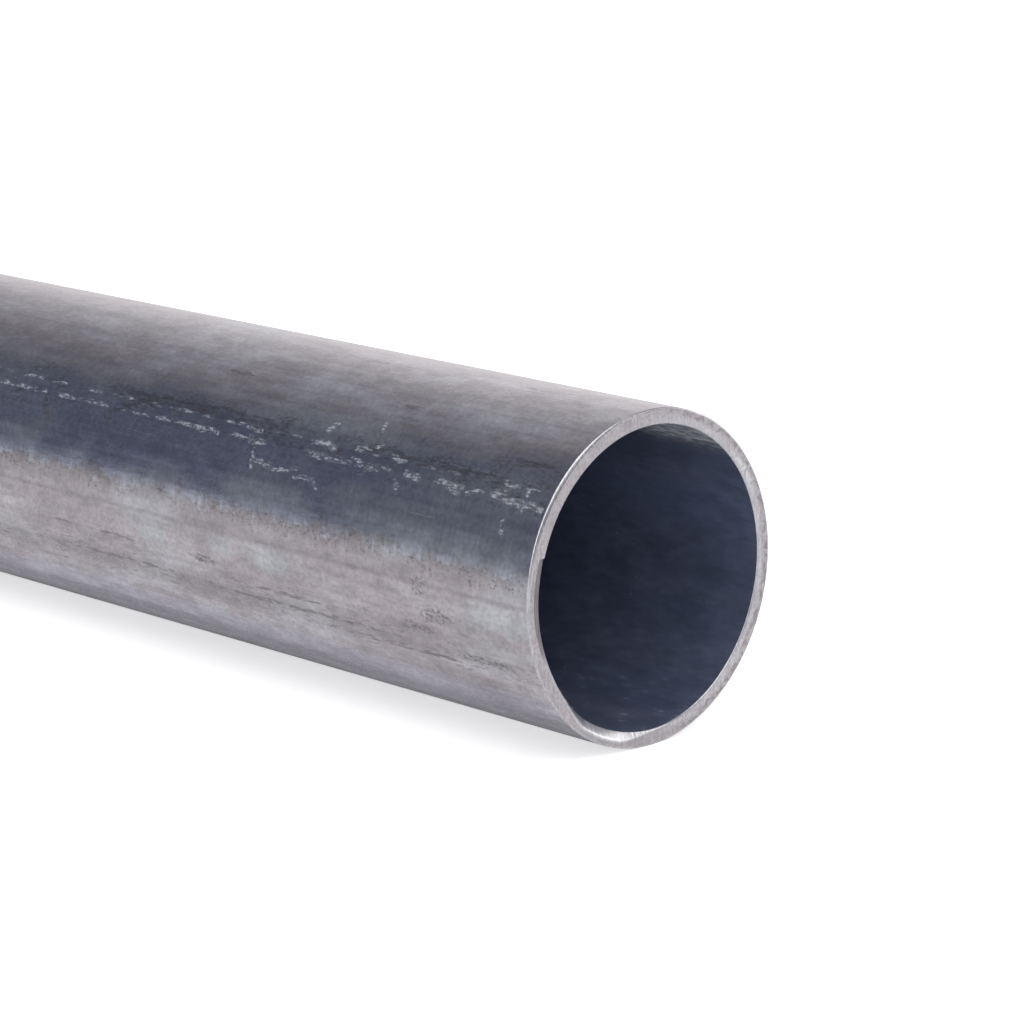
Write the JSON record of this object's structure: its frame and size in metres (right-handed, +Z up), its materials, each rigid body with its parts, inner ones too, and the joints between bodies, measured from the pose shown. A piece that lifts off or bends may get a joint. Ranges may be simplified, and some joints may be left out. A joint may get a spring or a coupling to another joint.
{
  "type": "round steel tube",
  "caption": "Straight length of round steel tube with an open bore and square sawn ends, for frames, rails, posts and piping.",
  "frame": {"origin": "on the ground under the middle of the tube, which lies on its side", "axes": "+X along the tube's axis, +Y across it, +Z up"},
  "size_m": [1, 0.0602, 0.0603],
  "materials": {
    "steel": "bare mill-finish steel with a grey to bluish scale, scuffs and small pits outside, a dark bore and bright sawn ends"
  },
  "bodies": {
    "root": {"tube": "steel"}
  },
  "joints": []
}
